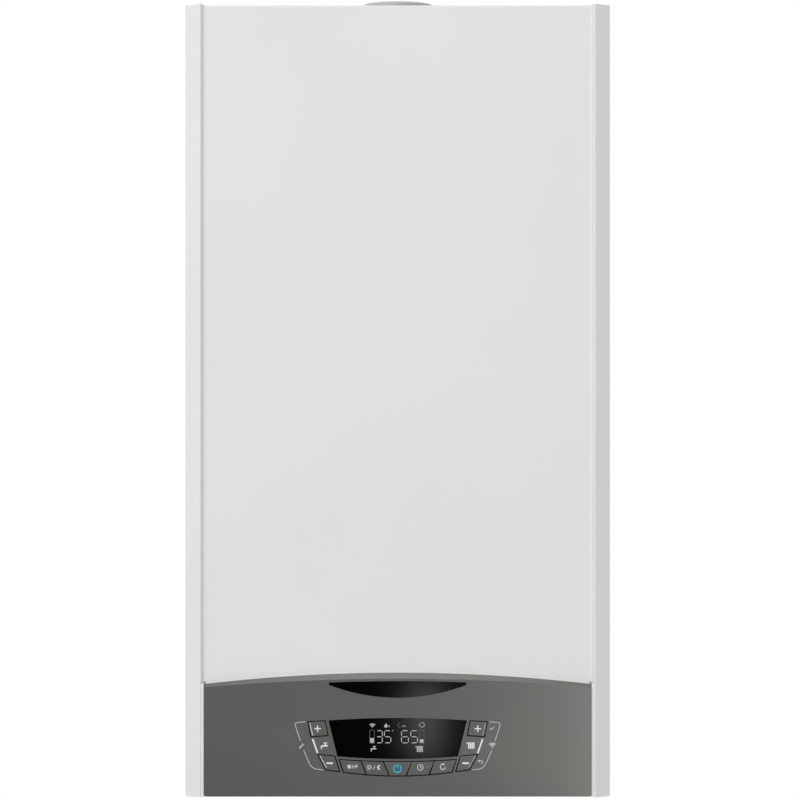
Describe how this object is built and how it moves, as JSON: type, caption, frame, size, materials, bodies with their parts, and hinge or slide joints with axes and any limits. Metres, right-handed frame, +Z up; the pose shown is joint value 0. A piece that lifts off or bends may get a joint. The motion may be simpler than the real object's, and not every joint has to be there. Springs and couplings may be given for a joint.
{
  "type": "wall-hung gas boiler",
  "caption": "Wall-hung condensing gas boiler: white sheet case with bevelled edges, arched dark grey control fascia with display and keys, flue spigot on top.",
  "frame": {"origin": "on the wall plane, midway between the two hanger holes", "axes": "+Z up, +Y into the wall, the front faces -Y, +X to the right seen from the front"},
  "size_m": [0.4, 0.3193, 0.7656],
  "materials": {
    "white_enamel": "white powder coat",
    "galvanised_steel": "zinc coated sheet",
    "fascia_plastic": "satin dark grey moulding",
    "key_plastic": "satin dark grey moulding",
    "black_lens": "gloss black lens",
    "circuit_board": "solder mask",
    "black_plastic": "fine texture",
    "grey_plastic": "moulded",
    "cast_aluminium": "die cast",
    "stainless_steel": "drawn",
    "ceramic": "glazed ceramic",
    "copper": "drawn copper tube",
    "brass": "turned brass",
    "cast_iron": "painted casting",
    "painted_motor": "painted can",
    "vessel_paint": "grey paint",
    "black_rubber": "moulded rubber",
    "red_plastic": "moulded"
  },
  "bodies": {
    "case": {"air_silencer": "black_plastic", "back_panel": "galvanised_steel", "bottom_plate": "galvanised_steel", "burner": "stainless_steel", "burner_door": "cast_aluminium", "condensate_trap": "grey_plastic", "connection_tails": "brass", "diverter_motor": "black_plastic", "door_nuts": "galvanised_steel", "electrodes": "ceramic", "exchanger_brackets": "galvanised_steel", "exchanger_coil": "stainless_steel", "exchanger_shell": "grey_plastic", "expansion_vessel": "vessel_paint", "fan_housing": "cast_aluminium", "fan_motor": "painted_motor", "flow_block": "grey_plastic", "flow_sensor": "grey_plastic", "flue_adapter": "grey_plastic", "flue_pipe": "grey_plastic", "flue_screws": "galvanised_steel", "gas_pipe": "copper", "gas_valve": "cast_aluminium", "heating_pipes": "copper", "hinge_brackets": "galvanised_steel", "left_side_panel": "white_enamel", "mixer_duct": "cast_aluminium", "plate_exchanger": "stainless_steel", "pump_body": "cast_iron", "pump_motor": "painted_motor", "return_block": "grey_plastic", "right_side_panel": "white_enamel", "safety_valve": "brass", "spark_generator": "black_plastic", "top_panel": "white_enamel", "vessel_diaphragm": "black_rubber"},
    "control_panel": {"fascia": "fascia_plastic", "badge_plate": "black_lens", "display_window": "black_lens", "display_board": "circuit_board", "control_box": "black_plastic", "main_board": "circuit_board"},
    "fan_impeller": {"fan_impeller": "black_plastic"},
    "pump_impeller": {"pump_impeller": "grey_plastic"},
    "flow_turbine": {"flow_turbine": "grey_plastic"},
    "diverter_spool": {"diverter_spool": "brass"},
    "gas_plunger": {"gas_plunger": "stainless_steel"},
    "safety_valve_knob": {"safety_valve_knob": "red_plastic"},
    "filling_tap_handle": {"filling_tap_handle": "red_plastic"},
    "front_cover": {"front_cover": "white_enamel"},
    "key_water_plus": {"key_water_plus": "key_plastic"},
    "key_water_minus": {"key_water_minus": "key_plastic"},
    "key_heat_plus": {"key_heat_plus": "key_plastic"},
    "key_heat_minus": {"key_heat_minus": "key_plastic"},
    "key_mode": {"key_mode": "key_plastic"},
    "key_comfort": {"key_comfort": "key_plastic"},
    "key_power": {"key_power": "key_plastic"},
    "key_timer": {"key_timer": "key_plastic"},
    "key_reset": {"key_reset": "key_plastic"}
  },
  "joints": [
    {"name": "control_panel_hinge", "type": "hinge", "parent": "case", "child": "control_panel", "pos_m": [0, -0.257, -0.6729], "axis": [1, 0, 0], "range_deg": [0, 90]},
    {"name": "front_cover_slide", "type": "slide", "parent": "case", "child": "front_cover", "axis": [0, -1, 0], "range_m": [0, 0.25]},
    {"name": "fan_spin", "type": "hinge", "parent": "case", "child": "fan_impeller", "pos_m": [0.044, -0.262, -0.33299], "axis": [0, 1, 0], "continuous": true},
    {"name": "pump_spin", "type": "hinge", "parent": "case", "child": "pump_impeller", "pos_m": [0.11, -0.14, -0.46399], "axis": [0, 1, 0], "continuous": true},
    {"name": "turbine_spin", "type": "hinge", "parent": "case", "child": "flow_turbine", "pos_m": [0.067, -0.135, -0.615], "axis": [0, 0, 1], "continuous": true},
    {"name": "diverter_lift", "type": "slide", "parent": "case", "child": "diverter_spool", "axis": [0, 0, 1], "range_m": [0, 0.008]},
    {"name": "gas_plunger_lift", "type": "slide", "parent": "case", "child": "gas_plunger", "axis": [0, 0, 1], "range_m": [0, 0.004], "stiffness_N_per_m": 300},
    {"name": "safety_knob_turn", "type": "hinge", "parent": "case", "child": "safety_valve_knob", "pos_m": [0.14, -0.21, -0.56699], "axis": [0, -1, 0], "range_deg": [0, 90]},
    {"name": "filling_tap_turn", "type": "hinge", "parent": "case", "child": "filling_tap_handle", "pos_m": [-0.14, -0.209, -0.56699], "axis": [0, -1, 0], "range_deg": [0, 90]},
    {"name": "key_water_plus_press", "type": "slide", "parent": "control_panel", "child": "key_water_plus", "axis": [0, 1, 0], "range_m": [0, 0.0008], "stiffness_N_per_m": 400},
    {"name": "key_water_minus_press", "type": "slide", "parent": "control_panel", "child": "key_water_minus", "axis": [0, 1, 0], "range_m": [0, 0.0008], "stiffness_N_per_m": 400},
    {"name": "key_heat_plus_press", "type": "slide", "parent": "control_panel", "child": "key_heat_plus", "axis": [0, 1, 0], "range_m": [0, 0.0008], "stiffness_N_per_m": 400},
    {"name": "key_heat_minus_press", "type": "slide", "parent": "control_panel", "child": "key_heat_minus", "axis": [0, 1, 0], "range_m": [0, 0.0008], "stiffness_N_per_m": 400},
    {"name": "key_mode_press", "type": "slide", "parent": "control_panel", "child": "key_mode", "axis": [0, 1, 0], "range_m": [0, 0.0008], "stiffness_N_per_m": 400},
    {"name": "key_comfort_press", "type": "slide", "parent": "control_panel", "child": "key_comfort", "axis": [0, 1, 0], "range_m": [0, 0.0008], "stiffness_N_per_m": 400},
    {"name": "key_power_press", "type": "slide", "parent": "control_panel", "child": "key_power", "axis": [0, 1, 0], "range_m": [0, 0.0008], "stiffness_N_per_m": 400},
    {"name": "key_timer_press", "type": "slide", "parent": "control_panel", "child": "key_timer", "axis": [0, 1, 0], "range_m": [0, 0.0008], "stiffness_N_per_m": 400},
    {"name": "key_reset_press", "type": "slide", "parent": "control_panel", "child": "key_reset", "axis": [0, 1, 0], "range_m": [0, 0.0008], "stiffness_N_per_m": 400}
  ]
}
